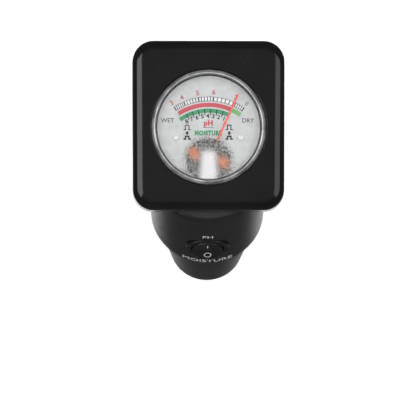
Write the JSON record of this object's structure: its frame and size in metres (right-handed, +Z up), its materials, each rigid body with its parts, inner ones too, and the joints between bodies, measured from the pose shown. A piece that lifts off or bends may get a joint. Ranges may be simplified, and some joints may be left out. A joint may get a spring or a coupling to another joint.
{
  "type": "soil moisture meter",
  "caption": "Hand-held soil moisture and pH meter: tilted square dial head on a round body with a rocker switch, tapering to a two-metal electrode point.",
  "frame": {"origin": "On the body's axis at the lower end of its plastic casing, where the electrode starts", "axes": "+Z up the body towards the head, -Y to the front where the dial and the switch face, +X to the right of someone who reads the dial"},
  "size_m": [0.0562, 0.062, 0.1642],
  "materials": {
    "gloss_black": "gloss moulded",
    "satin_black": "satin moulded",
    "soft_black": "matt",
    "switch_black": "satin moulded",
    "clear_cover": "clear",
    "dial_silver": "fine silver",
    "needle_red": "painted",
    "copper": "enamelled wire",
    "steel": "plain",
    "dark_iron": "oxide",
    "brass": "turned",
    "white_plastic": "moulded",
    "board_green": "solder mask",
    "resistor_tan": "lacquer",
    "lead_red": "insulation",
    "lead_black": "insulation"
  },
  "bodies": {
    "root": {"board_screw_1": "steel", "board_screw_2": "steel", "body_seal": "soft_black", "circuit_board": "board_green", "clamp_screw_1": "steel", "clamp_screw_2": "steel", "clamp_strap": "steel", "contact_pin": "brass", "electrode_carrier": "soft_black", "electrode_insulator": "soft_black", "electrode_tip": "brass", "electrode_upper": "steel", "hairspring_lower": "copper", "hairspring_upper": "copper", "head_back": "gloss_black", "head_front": "gloss_black", "head_gasket": "soft_black", "head_screw_left": "steel", "head_screw_right": "steel", "jewel_lower": "brass", "jewel_upper": "brass", "lead_meter_left": "lead_black", "lead_meter_right": "lead_red", "lead_tip": "lead_red", "lead_upper": "lead_black", "lower_body": "satin_black", "lower_bridge": "white_plastic", "meter_base": "soft_black", "meter_core": "steel", "meter_cover": "clear_cover", "meter_nut_left": "brass", "meter_nut_right": "brass", "meter_stud_left": "brass", "meter_stud_right": "brass", "meter_yoke": "dark_iron", "resistor_1": "resistor_tan", "resistor_2": "resistor_tan", "scale_plate": "dial_silver", "scale_screw_left": "steel", "scale_screw_right": "steel", "solder_lug": "brass", "switch_housing": "switch_black", "switch_terminal_high": "brass", "switch_terminal_low": "brass", "switch_terminal_middle": "brass", "tie_nut": "brass", "tie_rod": "brass", "tie_washer": "steel", "trimmer": "white_plastic", "upper_body": "satin_black", "upper_bridge": "white_plastic"},
    "needle": {"pointer": "needle_red", "balance_weight": "brass", "moving_coil": "copper", "staff_upper": "steel", "staff_lower": "steel"},
    "rocker": {"switch_rocker": "switch_black", "rocker_plunger": "brass", "rocker_spring": "steel"},
    "seesaw": {"switch_seesaw": "brass"}
  },
  "joints": [
    {"name": "needle_turn", "type": "hinge", "parent": "root", "child": "needle", "pos_m": [0, -0.01128, 0.11364], "axis": [0, -0.4163, 0.9092], "range_deg": [-10, 57], "stiffness_Nm_per_rad": 0.0005, "deforming": ["hairspring_upper", "hairspring_lower"]},
    {"name": "rocker_tilt", "type": "hinge", "parent": "root", "child": "rocker", "pos_m": [0, -0.021, 0.0578], "axis": [1, 0, 0], "range_deg": [0, 18]},
    {"name": "seesaw_tilt", "type": "hinge", "parent": "root", "child": "seesaw", "pos_m": [0, -0.0152, 0.0578], "axis": [1, 0, 0], "range_deg": [-14, 0]}
  ],
  "couplings": [
    {"joint": "seesaw_tilt", "follows": "rocker_tilt", "ratio": -0.7777}
  ]
}
